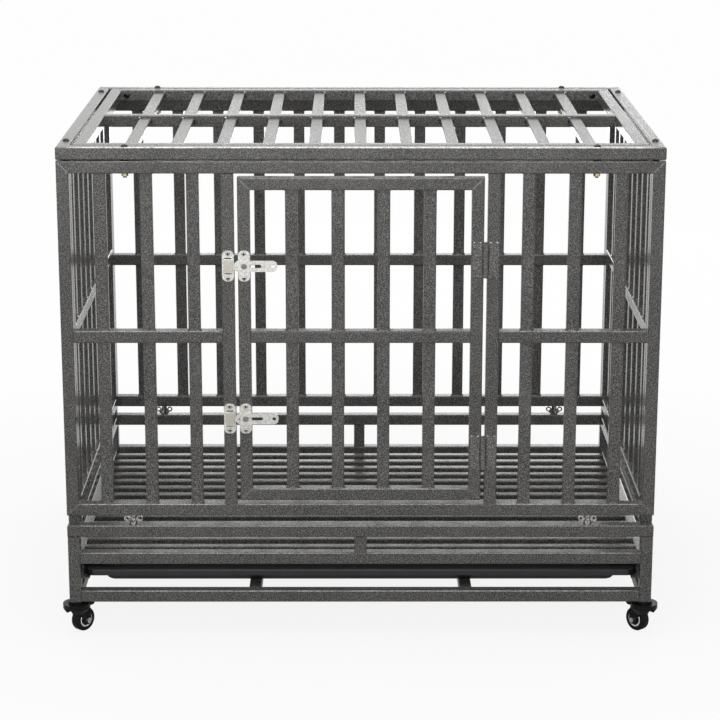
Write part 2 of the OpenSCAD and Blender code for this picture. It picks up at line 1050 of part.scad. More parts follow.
module fork(brake) {
    cheek_top = crown_z + crown_t / 2;
    color(black)
        difference() {
            union() {
                translate([0, 0, crown_z])
                    cylinder(d = crown_d, h = crown_t);
                difference() {
                    translate([0, 0, crown_z - skirt_h])
                        cylinder(d1 = skirt_d, d2 = crown_d, h = skirt_h);
                    translate([-crown_d, -cheek_in, crown_z - skirt_h - over])
                        cube([2 * crown_d, 2 * cheek_in, skirt_h + over]);
                }
                for (y = [-cheek_in, cheek_in + cheek_t])
                    translate([0, y, 0])
                        rotate([90, 0, 0])
                            linear_extrude(cheek_t) {
                                polygon([[-cheek_nose, cheek_top], [cheek_tail, cheek_top],
                                    [wheel_trail + boss_d / 2, axle_z], [wheel_trail - boss_d / 2, axle_z]]);
                                translate([wheel_trail, axle_z])
                                    circle(d = boss_d);
                                if (brake) {
                                    translate([0, pedal_z - pedal_ear_d / 2])
                                        square([pedal_x, pedal_ear_d]);
                                    translate([pedal_x, pedal_z])
                                        circle(d = pedal_ear_d);
                                }
                            }
            }
            translate([0, 0, crown_z - over])
                cylinder(d = stem_d + 2 * pin_clear, h = crown_t + 2 * over);
            translate([wheel_trail, 0, axle_z])
                rotate([90, 0, 0])
                    cylinder(d = axle_d + 2 * pin_clear, h = crown_d, center = true);
            if (brake)
                translate([pedal_x, 0, pedal_z])
                    rotate([90, 0, 0])
                        cylinder(d = pedal_pin_d + 2 * pin_clear, h = crown_d, center = true);
        }
}

module wheel() {
    color(black)
        translate([wheel_trail, 0, axle_z])
            rotate([90, 0, 0])
                difference() {
                    rotate_extrude()
                        intersection() {
                            round_rect(wheel_d, wheel_w, tread_r);
                            translate([0, -wheel_w / 2])
                                square([wheel_d / 2, wheel_w]);
                        }
                    cylinder(d = axle_d + 2 * pin_clear, h = wheel_w + 2 * over, center = true);
                    for (s = [0, 1])
                        mirror([0, 0, s])
                            translate([0, 0, wheel_w / 2 - hub_dish])
                                difference() {
                                    cylinder(d = hub_dish_d, h = hub_dish + over);
                                    cylinder(d = hub_boss_d, h = hub_dish + over);
                                }
                }
}

module axle() {
    color(zinc)
        translate([wheel_trail, 0, axle_z])
            rotate([90, 0, 0]) {
                cylinder(d = axle_d, h = 2 * (cheek_in + cheek_t), center = true);
                for (s = [0, 1])
                    mirror([0, 0, s])
                        translate([0, 0, cheek_in + cheek_t])
                            cylinder(d = axle_head_d, h = axle_head_h, $fn = s > 0 ? hex_sides : $fn);
            }
}

// Brake pedal on a cross pin between the ears of the fork
module pedal() {
    half = cheek_in - pedal_side;
    color(black)
        translate([pedal_x, 0, pedal_z]) {
            rotate([90, 0, 0]) {
                cylinder(d = pedal_barrel_d, h = 2 * half, center = true);
                cylinder(d = pedal_pin_d, h = 2 * (cheek_in + cheek_t), center = true);
            }
            translate([0, -half, -pedal_t / 2])
                cube([pedal_l, 2 * half, pedal_t]);
            for (i = [1 : pedal_rib_count])
                translate([pedal_l * i / (pedal_rib_count + 1) + pedal_rib_d, 0, pedal_t / 2])
                    rotate([90, 0, 0])
                        cylinder(d = pedal_rib_d, h = 2 * half, center = true);
        }
}

module fork_front_left() {
    at_leg(-1, -1) fork(true);
}

module fork_front_right() {
    at_leg(1, -1) fork(true);
}

module fork_rear_left() {
    at_leg(-1, 1) fork(false);
}

module fork_rear_right() {
    at_leg(1, 1) fork(false);
}

module wheel_front_left() {
    at_leg(-1, -1) wheel();
}

module wheel_front_right() {
    at_leg(1, -1) wheel();
}

module wheel_rear_left() {
    at_leg(-1, 1) wheel();
}

module wheel_rear_right() {
    at_leg(1, 1) wheel();
}

module axle_front_left() {
    at_leg(-1, -1) axle();
}

module axle_front_right() {
    at_leg(1, -1) axle();
}

module axle_rear_left() {
    at_leg(-1, 1) axle();
}

module axle_rear_right() {
    at_leg(1, 1) axle();
}

module pedal_front_left() {
    at_leg(-1, -1) pedal();
}

module pedal_front_right() {
    at_leg(1, -1) pedal();
}

roof_rim_long_rails();
roof_rim_side_rails();
roof_panel_rails();
roof_panel_sides();
roof_bars();
roof_panel_bolts();
roof_spacers();
roof_bolts();
roof_nuts();
front_posts();
front_rails();
front_bars();
back_posts();
back_rails();
back_bars();
side_posts();
side_rails();
side_bars();
door_stiles();
door_rails();
door_bars();
hinge_door_leaves();
hinge_jamb_leaves();
hinge_pins();
upper_keeper();
lower_keeper();
keeper_screws();
upper_latch_plate();
lower_latch_plate();
latch_screws();
upper_slide();
lower_slide();
upper_stud();
lower_stud();
base_legs();
base_long_rails();
base_side_rails();
base_centre_posts();
base_cross_tubes();
tray_runners();
grid_sides();
grid_bars();
tray();
wing_studs();
wing_nuts();
caster_stems();
fork_front_left();
fork_front_right();
fork_rear_left();
fork_rear_right();
wheel_front_left();
wheel_front_right();
wheel_rear_left();
wheel_rear_right();
axle_front_left();
axle_front_right();
axle_rear_left();
axle_rear_right();
pedal_front_left();
pedal_front_right();
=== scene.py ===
import json
import math

import bpy
import numpy as np
from mathutils import Matrix, Vector


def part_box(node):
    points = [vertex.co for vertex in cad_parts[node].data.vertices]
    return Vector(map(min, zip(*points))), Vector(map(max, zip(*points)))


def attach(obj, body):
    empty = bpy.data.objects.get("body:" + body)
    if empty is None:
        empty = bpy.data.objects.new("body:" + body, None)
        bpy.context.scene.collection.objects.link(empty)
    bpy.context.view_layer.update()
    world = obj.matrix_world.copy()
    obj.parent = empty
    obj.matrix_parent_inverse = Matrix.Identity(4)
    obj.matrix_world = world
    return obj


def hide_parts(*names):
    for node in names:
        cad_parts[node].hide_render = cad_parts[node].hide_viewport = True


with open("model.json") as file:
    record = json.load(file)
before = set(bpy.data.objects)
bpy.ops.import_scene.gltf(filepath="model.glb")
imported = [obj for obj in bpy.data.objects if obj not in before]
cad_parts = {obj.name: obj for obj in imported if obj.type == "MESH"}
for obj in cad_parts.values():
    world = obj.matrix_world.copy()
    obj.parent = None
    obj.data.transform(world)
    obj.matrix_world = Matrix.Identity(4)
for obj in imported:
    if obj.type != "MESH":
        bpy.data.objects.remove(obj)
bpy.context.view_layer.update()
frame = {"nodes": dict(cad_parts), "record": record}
print("stage: frame loaded,", len(frame["nodes"]), "nodes")

mm = 0.001

# sizes of the crate that the new pieces need, in millimetres
crate = {
    "width": 960.0, "depth": 670.0, "tube": 20.0, "barWide": 20.0, "barDeep": 12.0,
    "ringZ": 169.0, "baseZ": 189.0, "wallZ": 206.0, "wallTop": 792.0, "roofZ": 794.0,
    "midZ": 497.0, "backMidZ": 481.0, "jambX": 211.0, "stileX": 185.5,
    "frontBars": (266.0, 339.3, 412.6), "doorPitch": 73.3, "backPitch": 74.5,
    "roofPitch": 73.2, "sidePitch": 67.7778,
    "doorHalf": 195.5, "doorZ": 232.5, "doorTop": 765.5,
    "panelHalfX": 455.5, "panelHalfY": 310.5,
    "latchZ": (624.0, 372.0), "hingeZ": (634.0, 314.0), "baseMidTop": 142.0, "baseLowTop": 76.0,
}
frontY = -crate["depth"] / 2
rearY = crate["depth"] / 2
halfW = crate["width"] / 2
tube = crate["tube"]


# quads of a grid of nu by nv points, closed round where asked, first index slow
def gridFaces(nu, nv, closeU=False, closeV=False):
    u = np.arange(nu if closeU else nu - 1)
    v = np.arange(nv if closeV else nv - 1)
    uu, vv = np.meshgrid(u, v, indexing="ij")
    u1, v1 = (uu + 1) % nu, (vv + 1) % nv
    return np.stack([uu * nv + vv, u1 * nv + vv, u1 * nv + v1, uu * nv + v1], axis=-1).reshape(-1, 4)


# many closed copies of one grid, points (copies, along, around, 3), capped at both ends or closed along too;
# a copy whose signed volume is below zero has its faces turned round
def closedCopies(points, ring=False):
    count, along, around = points.shape[:3]
    flat = points.reshape(count, along * around, 3)
    groups = [gridFaces(along, around, closeU=ring, closeV=True)]
    if not ring:
        groups += [np.arange(around)[None, ::-1], (along - 1) * around + np.arange(around)[None, :]]
    centred = flat - flat.mean(axis=1, keepdims=True)
    volume = np.zeros(count)
    for group in groups:
        for k in range(1, group.shape[1] - 1):
            a, b, c = (centred[:, group[:, i]] for i in (0, k, k + 1))
            volume += np.einsum("nij,nij->n", a, np.cross(b, c))
    starts = (np.arange(count) * along * around)[:, None, None]
    faces = []
    for group in groups:
        turned = np.where((volume < 0.0)[:, None, None], group[None, :, ::-1], group[None])
        faces += (turned + starts).reshape(-1, group.shape[1]).tolist()
    return flat.reshape(-1, 3), faces


def addPiece(name, shape, material, body, sharp=50.0):
    mesh = bpy.data.meshes.new(name)
    mesh.from_pydata((shape[0] * mm).tolist(), [], shape[1])
    mesh.polygons.foreach_set("use_smooth", np.ones(len(mesh.polygons), dtype=bool))
    mesh.set_sharp_from_angle(angle=math.radians(sharp))
    mesh.materials.append(material)
    mesh.update()
    piece = bpy.data.objects.new(name, mesh)
    bpy.context.scene.collection.objects.link(piece)
    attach(piece, body)
    return piece


def newMaterial(name):
    material = bpy.data.materials.new(name)
    material.use_nodes = True
    return material, material.node_tree, material.node_tree.nodes["Principled BSDF"]


def addNode(tree, kind, inputs=(), **values):
    node = tree.nodes.new(kind)
    for key, value in values.items():
        setattr(node, key, value)
    for key, value in dict(inputs).items():
        node.inputs[key].default_value = value
    return node


def objectPoint(tree):
    return addNode(tree, "ShaderNodeTexCoord").outputs["Object"]


def noiseOn(tree, point, scale, detail=3.0, roughness=0.5):
    noise = addNode(tree, "ShaderNodeTexNoise", {"Scale": scale, "Detail": detail, "Roughness": roughness})
    tree.links.new(point, noise.inputs["Vector"])
    return noise.outputs["Fac"]


def rampOn(tree, value, stops):
    ramp = addNode(tree, "ShaderNodeValToRGB")
    while len(ramp.color_ramp.elements) < len(stops):
        ramp.color_ramp.elements.new(0.5)
    for element, (place, colour) in zip(ramp.color_ramp.elements, stops):
        element.position = place
        element.color = (*colour, 1.0)
    tree.links.new(value, ramp.inputs["Fac"])
    return ramp.outputs["Color"]


def rangeOn(tree, value, low, high, fromLow=0.3, fromHigh=0.7):
    fit = addNode(tree, "ShaderNodeMapRange",
                  {"From Min": fromLow, "From Max": fromHigh, "To Min": low, "To Max": high})
    tree.links.new(value, fit.inputs["Value"])
    return fit.outputs["Result"]


def mathOn(tree, operation, a, b):
    node = addNode(tree, "ShaderNodeMath", operation=operation)
    for socket, value in zip(node.inputs, (a, b)):
        if isinstance(value, (int, float)):
            socket.default_value = value
        else:
            tree.links.new(value, socket)
    return node.outputs[0]


def bumpOn(tree, shader, height, strength, distance):
    bump = addNode(tree, "ShaderNodeBump", {"Strength": strength, "Distance": distance})
    tree.links.new(height, bump.inputs["Height"])
    tree.links.new(bump.outputs["Normal"], shader.inputs["Normal"])


# hammered paint: cells about a millimetre and a half wide, pale on their rims and dark in their hollows, with fine
# flake between them, over slow drifts of tone
hammer = {"dark": (0.013, 0.0125, 0.012), "mid": (0.054, 0.0525, 0.050), "pale": (0.260, 0.252, 0.240),
          "stops": ((0.44, "dark"), (0.64, "mid"), (0.88, "pale")),
          "cellScale": 640.0, "grainScale": 2000.0, "driftScale": 11.0,
          "cellShare": 0.70, "grainShare": 0.62, "driftShare": 0.14,
          "rough": (0.13, 0.24), "specular": 0.26, "coat": 0.18, "coatRough": 0.10, "bump": 0.30, "depth": 0.0004}


def hammeredPaint(name, lift=1.0, shine=1.0):
    material, tree, shader = newMaterial(name)
    point = objectPoint(tree)
    cells = addNode(tree, "ShaderNodeTexVoronoi", {"Scale": hammer["cellScale"], "Smoothness": 0.5},
                    feature="SMOOTH_F1")
    tree.links.new(point, cells.inputs["Vector"])
    grain = noiseOn(tree, point, hammer["grainScale"], 2.0)
    drift = noiseOn(tree, point, hammer["driftScale"], 3.0)
    speck = mathOn(tree, "ADD", mathOn(tree, "MULTIPLY", cells.outputs["Distance"], hammer["cellShare"]),
                   mathOn(tree, "MULTIPLY", grain, hammer["grainShare"]))
    tint = mathOn(tree, "ADD", speck, mathOn(tree, "MULTIPLY", drift, hammer["driftShare"]))
    stops = [(place, tuple(v * lift for v in hammer[key])) for place, key in hammer["stops"]]
    tree.links.new(rampOn(tree, tint, stops), shader.inputs["Base Color"])
    tree.links.new(rangeOn(tree, grain, *hammer["rough"]), shader.inputs["Roughness"])
    shader.inputs["Specular IOR Level"].default_value = hammer["specular"]
    shader.inputs["Coat Weight"].default_value = hammer["coat"] * shine
    shader.inputs["Coat Roughness"].default_value = hammer["coatRough"]
    bumpOn(tree, shader, speck, hammer["bump"], hammer["depth"])
    return material


# zinc plate: pale metal with cloudy mottling a few millimetres wide, partly stains and partly painted reflection
# of darker surroundings, and a fine grain; a piece's own recess attribute, where it has one, paints shade into what is
# sunk into it
plating = {"cloudScale": 330.0, "fineScale": 1500.0, "cloudStops": (0.36, 0.62), "recessShadeColour": (0.02, 0.02, 0.02, 1.0),
           "bump": 0.08, "depth": 0.0002}


def zincPlate(name, base, rough, stainAndReflection, paintsRecessShade=False):
    material, tree, shader = newMaterial(name)
    point = objectPoint(tree)
    cloud = noiseOn(tree, point, plating["cloudScale"], 4.0, 0.6)
    fine = noiseOn(tree, point, plating["fineScale"], 2.0)
    stainAndReflectionColour = tuple(v * stainAndReflection for v in base)
    colour = rampOn(tree, cloud, list(zip(plating["cloudStops"], (stainAndReflectionColour, base))))
    if paintsRecessShade:
        recessShade = addNode(tree, "ShaderNodeAttribute", attribute_name="recess")
        mix = addNode(tree, "ShaderNodeMix", data_type="RGBA")
        mix.inputs[7].default_value = plating["recessShadeColour"]
        tree.links.new(recessShade.outputs["Fac"], mix.inputs["Factor"])
        tree.links.new(colour, mix.inputs[6])
        colour = mix.outputs[2]
    tree.links.new(colour, shader.inputs["Base Color"])
    tree.links.new(rangeOn(tree, fine, *rough), shader.inputs["Roughness"])
    shader.inputs["Metallic"].default_value = 1.0
    bumpOn(tree, shader, fine, plating["bump"], plating["depth"])
    return material


# moulded plastic: fine grain, a little dust in the broad noise
moulding = {"grainScale": 1100.0, "dustScale": 30.0, "dustStops": (0.35, 0.75), "dustGain": 1.5, "dustLift": 0.004,
            "coatRough": 0.18, "bump": 0.12, "depth": 0.0003}


def mouldedPlastic(name, base, rough, specular, coat=0.0):
    material, tree, shader = newMaterial(name)
    point = objectPoint(tree)
    grain = noiseOn(tree, point, moulding["grainScale"], 3.0)
    dust = noiseOn(tree, point, moulding["dustScale"], 3.0)
    pale = tuple(min(1.0, v * moulding["dustGain"] + moulding["dustLift"]) for v in base)
    shader.inputs["Specular IOR Level"].default_value = specular
    shader.inputs["Coat Weight"].default_value = coat
    shader.inputs["Coat Roughness"].default_value = moulding["coatRough"]
    colour = rampOn(tree, dust, list(zip(moulding["dustStops"], (base, pale))))
    tree.links.new(colour, shader.inputs["Base Color"])
    tree.links.new(rangeOn(tree, grain, *rough), shader.inputs["Roughness"])
    bumpOn(tree, shader, grain, moulding["bump"], moulding["depth"])
    return material


paint = hammeredPaint("hammeredPaint")
# weld paint: the hammered paint lifted lighter and glossier; the lighter colour is a painted highlight along the beads
# and seams
weldPaint = hammeredPaint("weldPaint", 1.45, 3.0)
hingePaint = hammeredPaint("hingePaint", 1.3, 2.0)
pinPaint = hammeredPaint("pinPaint", 0.45)
zinc = zincPlate("zincPlate", (0.62, 0.61, 0.58), (0.24, 0.40), 0.62)
screwZinc = zincPlate("screwZinc", (0.56, 0.55, 0.52), (0.2, 0.34), 0.55, True)
strapZinc = zincPlate("strapZinc", (0.40, 0.38, 0.33), (0.34, 0.50), 0.85)
studZinc = zincPlate("studZinc", (0.26, 0.25, 0.24), (0.18, 0.32), 0.5)
# wing nuts: the darkest mottling, the same mix of stains and painted reflection
wingZinc = zincPlate("wingZinc", (0.50, 0.49, 0.47), (0.10, 0.20), 0.12)
# pale metals for painted highlights: the first on the roof rim's edges and the weld tacks, the second on the other
# rails' upper edges
paintedHighlightZinc = zincPlate("paintedHighlightZinc", (0.66, 0.66, 0.65), (0.26, 0.42), 0.3)
paintedEdgeHighlight = zincPlate("paintedEdgeHighlight", (0.30, 0.30, 0.29), (0.26, 0.42), 0.3)
nutBrass = zincPlate("nutBrass", (0.46, 0.40, 0.22), (0.3, 0.45), 0.5)
# near-black metal: the bolt heads' own colour, and painted shade where it lies in the strap slots
boltBlackAndSlotShade = zincPlate("boltBlackAndSlotShade", (0.05, 0.05, 0.05), (0.12, 0.24), 0.4, True)
trayPlastic = mouldedPlastic("trayPlastic", (0.014, 0.014, 0.017), (0.26, 0.40), 0.35, 0.15)
casterPlastic = mouldedPlastic("casterPlastic", (0.008, 0.008, 0.009), (0.18, 0.30), 0.10, 0.06)
treadPlastic = mouldedPlastic("treadPlastic", (0.009, 0.009, 0.009), (0.45, 0.6), 0.10)
ringZinc = zincPlate("ringZinc", (0.84, 0.84, 0.82), (0.2, 0.32), 0.8)
# near-black paint as painted shade: on the roof bar welds, for the shade at the bars' ends, and on the lenses beside
# the hinge barrels
paintedShadePaint = hammeredPaint("paintedShadePaint", 0.3)

materialOf = {"grey_paint": paint, "bright_zinc": zinc, "brass": nutBrass, "tray_plastic": trayPlastic,
              "black_plastic": casterPlastic, "wheel_plastic": treadPlastic}
ownMaterial = {"wing_studs": wingZinc, "wing_nuts": wingZinc, "upper_stud": studZinc, "lower_stud": studZinc,
               "hinge_door_leaves": hingePaint, "hinge_jamb_leaves": hingePaint, "hinge_pins": pinPaint}
slotOf = {s["node"]: s["material_slot"] for s in frame["record"]["subparts"]}
for nodeName, nodeObject in frame["nodes"].items():
    nodeObject.data.materials.clear()
    nodeObject.data.materials.append(ownMaterial.get(nodeName, materialOf[slotOf[nodeName]]))
print("stage: materials set on", len(frame["nodes"]), "nodes")


# weld beads: a round bead laid in the corner between a bar's side and the rail that it meets; the point at (u, v) is
# the corner + u along it + (set + r(u) cos v) out along the rail + (set + r(u) sin v) up the bar
bead = {"radius": 1.35, "set": 0.25, "ripple": 0.16, "along": 7, "around": 6, "short": 2.4, "roofSize": 1.5,
        "taper": 0.45, "ripples": 9.0}


def cornerBeads(corner, along, halfLength, out, up, size=1.0):
    u = np.linspace(-1.0, 1.0, bead["along"])[:, None]
    v = np.arange(bead["around"])[None, :] / bead["around"] * 2.0 * np.pi
    radius = size * bead["radius"] * (1.0 - bead["taper"] * u ** 8)
    radius = radius * (1.0 + bead["ripple"] * np.cos(u * bead["ripples"]))
    parts = ((u + 0.0 * v, along * halfLength[:, None]), (bead["set"] + radius * np.cos(v), out),
             (bead["set"] + radius * np.sin(v), up))
    return corner[:, None, None, :] + sum(s[None, :, :, None] * axis[:, None, None, :] for s, axis in parts)


# four beads at each end of each bar, from whole arrays of both ends; across and deep are the bar's two other axes
def barBeads(first, second, across, deep, size=1.0):
    first, second = np.asarray(first, float), np.asarray(second, float)
    across, deep = np.asarray(across, float), np.asarray(deep, float)
    way = (second - first) / np.linalg.norm(second - first, axis=1)[:, None]
    halfA, halfD = crate["barWide"] / 2, crate["barDeep"] / 2
    rows = []
    for end, up in ((first, way), (second, -way)):
        for sign in (-1.0, 1.0):
            for side, reach, run, length in ((across, halfA, deep, halfD), (deep, halfD, across, halfA)):
                same = np.ones((len(end), 1))
                rows.append(cornerBeads(end + sign * reach * side, same * run, same[:, 0] * (length - bead["short"]),
                                        same * sign * side, up, size))
    return np.concatenate(rows)


def uprights(xs, ys, lengths):
    x, y = np.asarray(xs, float), np.asarray(ys, float)
    ends = [np.concatenate([np.stack([x, y, 0.0 * x + span[i]], axis=1) for span in lengths]) for i in (0, 1)]
    return ends[0], ends[1]


xAxis, yAxis, zAxis = (1.0, 0.0, 0.0), (0.0, 1.0, 0.0), (0.0, 0.0, 1.0)
openLow, openHigh = crate["wallZ"] + tube, crate["wallTop"] - tube
frontSpans = ((openLow, crate["midZ"]), (crate["midZ"] + tube, openHigh))
backSpans = ((openLow, crate["backMidZ"]), (crate["backMidZ"] + tube, openHigh))
doorSpans = ((crate["doorZ"] + tube, crate["midZ"]), (crate["midZ"] + tube, crate["doorTop"] - tube))
frontX = np.array([s * x for s in (-1.0, 1.0) for x in crate["frontBars"]])
backX = (np.arange(12) - 5.5) * crate["backPitch"]
sideY = np.tile((np.arange(8) - 3.5) * crate["sidePitch"], 2)
sideX = np.repeat([-halfW + tube / 2, halfW - tube / 2], 8)
roofX = np.tile((np.arange(11) - 5.0) * crate["roofPitch"], 2)
roofInner = crate["panelHalfY"] - tube
roofMidZ = crate["roofZ"] + tube / 2
roofFirst = np.stack([roofX, np.repeat([-roofInner, tube / 2], 11), 0.0 * roofX + roofMidZ], axis=1)
roofSecond = np.stack([roofX, np.repeat([-tube / 2, roofInner], 11), 0.0 * roofX + roofMidZ], axis=1)
frameBeads = np.concatenate([
    barBeads(*uprights(frontX, 0.0 * frontX + frontY + tube / 2, frontSpans), xAxis, yAxis),
    barBeads(*uprights(backX, 0.0 * backX + rearY - tube / 2, backSpans), xAxis, yAxis),
    barBeads(*uprights(sideX, sideY, frontSpans), yAxis, xAxis)])
addPiece("barWelds", closedCopies(frameBeads), weldPaint, "frame")
roofBeads = barBeads(roofFirst, roofSecond, xAxis, zAxis, bead["roofSize"])
# the roof bar welds carry painted shade, darkening the bars' ends
addPiece("roofBarWelds", closedCopies(roofBeads), paintedShadePaint, "frame")
doorX = (np.arange(4) - 1.5) * crate["doorPitch"]
doorBeads = barBeads(*uprights(doorX, 0.0 * doorX + frontY + tube / 2, doorSpans), xAxis, yAxis)
addPiece("doorBarWelds", closedCopies(doorBeads), weldPaint, "door")
print("stage: bar welds,", len(frameBeads) + len(roofBeads) + len(doorBeads), "beads")


# ground seams: a flat bead over each mitre, an ellipse swelling and shrinking a little along the joint; the point at
# (u, v) is first + u (second - first) + half(u) cos v sideways + height(u) sin v out of the face
seam = {"half": 1.5, "height": 0.32, "ripple": 0.22, "ripples": 22.0, "along": 13, "around": 8, "from": 2.4,
        "to": 19.6}


def mitreSeams(centre, halfA, halfB, axisA, axisB, faces):
    axisA, axisB, centre = (np.asarray(a, float) for a in (axisA, axisB, centre))
    normal = np.cross(axisA, axisB)
    signs = np.array([(a, b, f) for a in (-1.0, 1.0) for b in (-1.0, 1.0) for f in (0, 1)])
    out = np.where(signs[:, 2] > 0.5, 1.0, -1.0)[:, None] * normal
    level = np.where(signs[:, 2] > 0.5, faces[1], faces[0])[:, None] * normal

    def corner(inset):
        return centre + level + signs[:, :1] * (halfA - inset) * axisA + signs[:, 1:2] * (halfB - inset) * axisB

    first, second = corner(seam["from"]), corner(seam["to"])
    way = second - first
    side = np.cross(way / np.linalg.norm(way, axis=1)[:, None], out)
    u = np.linspace(0.0, 1.0, seam["along"])[:, None]
    v = np.arange(seam["around"])[None, :] / seam["around"] * 2.0 * np.pi
    swell = (1.0 + seam["ripple"] * np.cos(u * seam["ripples"])) * (1.0 - 0.5 * (2.0 * u - 1.0) ** 10)
    parts = ((u + 0.0 * v, way), (seam["half"] * swell * np.cos(v), side),
             (seam["height"] * swell * np.sin(v), out))
    return first[:, None, None, :] + sum(s[None, :, :, None] * axis[:, None, None, :] for s, axis in parts)


wallMid, wallHalf = (crate["wallZ"] + crate["wallTop"]) / 2, (crate["wallTop"] - crate["wallZ"]) / 2
doorMid, doorHalfZ = (crate["doorZ"] + crate["doorTop"]) / 2, (crate["doorTop"] - crate["doorZ"]) / 2
frameSeams = np.concatenate([
    mitreSeams((0.0, 0.0, wallMid), halfW, wallHalf, xAxis, zAxis, (-frontY, -frontY - tube)),
    mitreSeams((0.0, 0.0, wallMid), halfW, wallHalf, xAxis, zAxis, (-rearY + tube, -rearY)),
    mitreSeams((0.0, 0.0, 0.0), halfW, rearY, xAxis, yAxis, (crate["roofZ"], crate["roofZ"] + tube)),
    mitreSeams((0.0, 0.0, 0.0), crate["panelHalfX"], crate["panelHalfY"], xAxis, yAxis,
               (crate["roofZ"], crate["roofZ"] + tube)),
    mitreSeams((0.0, 0.0, 0.0), halfW, rearY, xAxis, yAxis, (crate["ringZ"], crate["baseZ"]))])
addPiece("frameSeams", closedCopies(frameSeams), weldPaint, "frame")
doorSeams = mitreSeams((0.0, 0.0, doorMid), crate["doorHalf"], doorHalfZ, xAxis, zAxis, (-frontY, -frontY - tube))
addPiece("doorSeams", closedCopies(doorSeams), weldPaint, "door")
print("stage: seams,", len(frameSeams) + len(doorSeams))


# turned heads: a profile (radius, height) spun about the fastener's axis, with a recess sunk into the dome where its
# outline is inside a cross or a hexagon; the point at (k, v) is place + r cos v + r sin v + height along the axis
screw = {"headRadius": 3.75, "headHeight": 1.8, "edge": 0.6, "shankRadius": 1.9, "length": 5.8, "recess": 1.0,
         "slotHalf": 0.62, "slotReach": 2.5, "rings": 12, "around": 32, "plate": 2.0, "spread": 20.0}
bolt = {"headRadius": 5.5, "headHeight": 3.3, "edge": 0.7, "shankRadius": 2.95, "recess": 1.6, "key": 1.9,
        "rings": 12, "around": 36, "wallLength": 49.5, "wallPlaces": ((372.0, 325.0), (470.0, 271.1)),
        "panelLength": 34.0, "panelX": 425.5}


def turnedHeads(places, axis, head, length, cross):
    axis = np.asarray(axis, float)
    side = np.asarray((0.0, 0.0, 1.0) if abs(axis[2]) < 0.5 else (1.0, 0.0, 0.0))
    over = np.cross(axis, side)
    share = np.concatenate([[0.02], np.linspace(0.12, 1.0, head["rings"])])
    dome = head["edge"] + (head["headHeight"] - head["edge"]) * np.sqrt(np.maximum(0.0, 1.0 - share ** 2.4))
    radius = np.concatenate([share * head["headRadius"], [head["headRadius"], head["shankRadius"],
                                                          head["shankRadius"], 0.05]])
    height = np.concatenate([dome, [0.0, 0.0, -length, -length]])
    v = np.arange(head["around"]) / head["around"] * 2.0 * np.pi
    x, y = radius[:, None] * np.cos(v), radius[:, None] * np.sin(v)
    if cross:
        thin, wide = np.minimum(abs(x), abs(y)), np.maximum(abs(x), abs(y))
        inside = np.clip((head["slotHalf"] - thin) * 4.0 + 0.5, 0.0, 1.0) * np.clip(
            (head["slotReach"] - wide) * 3.0 + 0.5, 0.0, 1.0)
    else:
        turns = np.arange(3)[:, None, None] * np.pi / 3.0
        reach = abs(x * np.cos(turns) + y * np.sin(turns)).max(axis=0)
        inside = np.clip((head["key"] - reach) * 3.0 + 0.5, 0.0, 1.0)
    top = (np.arange(len(radius)) < len(share))[:, None]
    z = height[:, None] - head["recess"] * inside * top
    shape = x[..., None] * side + y[..., None] * over + z[..., None] * axis
    return np.asarray(places, float)[:, None, None, :] + shape, np.tile((inside * top).ravel(), len(places))


def addHeads(name, nodeName, heads, material, body):
    points, recessShade = heads
    piece = addPiece(name, closedCopies(points), material, body, 35.0)
    # the recess mask is stored as the piece's recess attribute, which its zinc paints as shade
    attribute = piece.data.attributes.new("recess", "FLOAT", "POINT")
    attribute.data.foreach_set("value", recessShade.astype(np.float32))
    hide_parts(nodeName)


plateFront = frontY - screw["plate"]
screwZ = [z + s * screw["spread"] for z in crate["latchZ"] for s in (-1.0, 1.0)]
forwards = (0.0, -1.0, 0.0)
for headName, screwNode, headX, screwBody in (("keeperScrewHeads", "keeper_screws", -crate["jambX"], "frame"),
                                              ("plateScrewHeads", "latch_screws", -crate["stileX"], "door")):
    screwPlaces = [(headX, plateFront, z) for z in screwZ]
    screwHeads = turnedHeads(screwPlaces, forwards, screw, screw["length"], True)
    addHeads(headName, screwNode, screwHeads, screwZinc, screwBody)
roofTop = crate["roofZ"] + tube
roofPlaces = [(sx * x, sy * y, roofTop) for x, y in bolt["wallPlaces"] for sx in (-1, 1) for sy in (-1, 1)]
roofHeads = turnedHeads(roofPlaces, zAxis, bolt, bolt["wallLength"], False)
addHeads("roofBoltHeads", "roof_bolts", roofHeads, boltBlackAndSlotShade, "frame")
panelRows = [turnedHeads([(sx * bolt["panelX"], sy * roofInner, roofMidZ) for sx in (-1, 1)], (0.0, -sy, 0.0), bolt,
                         bolt["panelLength"], False) for sy in (-1.0, 1.0)]
panelHeads = tuple(np.concatenate(part) for part in zip(*panelRows))
addHeads("panelBoltHeads", "roof_panel_bolts", panelHeads, boltBlackAndSlotShade, "frame")
print("stage: screws and bolts")


# tray: a moulded profile carried round a rounded rectangle, from the middle of the floor up the pan's side, over the
# flange, round the rolled edge to the lip and back underneath; the point at (k, v) is the outline at inset(k) and
# height(k)
trayShape = {"halfX": 456.0, "halfY": 310.0, "corner": 16.0, "cornerLoss": 0.2, "cornerLeast": 6.0, "wall": 2.0,
             "flangeTop": 104.0, "flange": 28.0, "flangeRound": 3.0, "taper": 6.0, "floorZ": 77.5, "floorInset": 300.0,
             "roll": 2.4, "fillet": 9.0, "arc": 8, "edgeInset": 4.0, "frontShare": 0.63,
             "lipZ": 92.5, "lipBelow": 96.0, "lipInset": 3.0, "frontLift": 1.0, "liftRun": 20.0,
             "rib": 1.4, "ribsAt": (236.0, 186.0, 136.0, 86.0), "support": 0.8,
             "ribShape": ((4.0, 0.0), (3.2, 0.0), (0.0, 1.0), (-0.8, 1.0), (-7.2, 1.0), (-8.0, 1.0), (-11.2, 0.0),
                          (-12.0, 0.0))}


def arcPoints(cx, cz, radius, start, end, count):
    a = np.radians(np.linspace(start, end, count))
    return np.stack([cx + radius * np.cos(a), cz + radius * np.sin(a)], axis=1)


